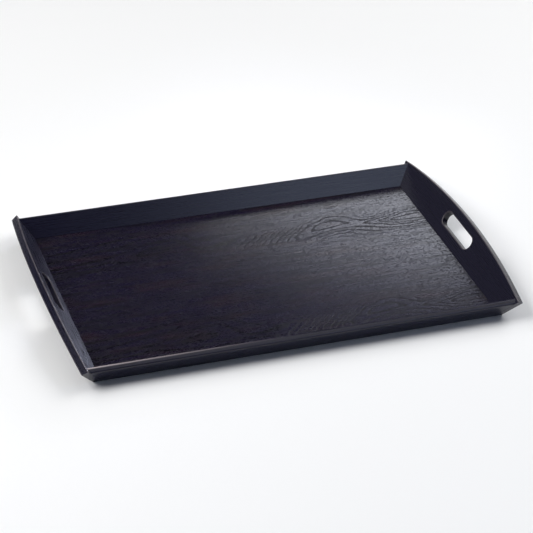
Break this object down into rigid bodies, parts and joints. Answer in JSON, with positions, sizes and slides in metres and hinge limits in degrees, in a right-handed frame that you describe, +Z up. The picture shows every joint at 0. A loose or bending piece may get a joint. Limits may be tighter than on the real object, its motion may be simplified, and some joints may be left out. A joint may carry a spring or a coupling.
{
  "type": "wooden serving tray",
  "caption": "Rectangular black-stained wooden tray with outward-leaning walls, arched end boards with hand slots, and a veneered base panel held in grooves.",
  "frame": {"origin": "on the table, below the middle of the tray", "axes": "+X along the tray towards the right end board, +Y towards the rear rail, +Z up"},
  "size_m": [0.5994, 0.3956, 0.0449],
  "materials": {
    "black_board": "black-stained solid wood under satin lacquer",
    "black_show_veneer": "black-stained open-pore ash veneer under satin lacquer",
    "plywood_core": "bare birch plywood",
    "black_backing_veneer": "black-stained plain veneer, matt",
    "beech_dowel": "bare turned beech"
  },
  "bodies": {
    "root": {"front_rail": "black_board", "rear_rail": "black_board", "left_end_board": "black_board", "right_end_board": "black_board", "base_show_veneer": "black_show_veneer", "base_core": "plywood_core", "base_backing_veneer": "black_backing_veneer", "dowel_front_left_lower": "beech_dowel", "dowel_front_left_upper": "beech_dowel", "dowel_front_right_lower": "beech_dowel", "dowel_front_right_upper": "beech_dowel", "dowel_rear_left_lower": "beech_dowel", "dowel_rear_left_upper": "beech_dowel", "dowel_rear_right_lower": "beech_dowel", "dowel_rear_right_upper": "beech_dowel"}
  },
  "joints": []
}
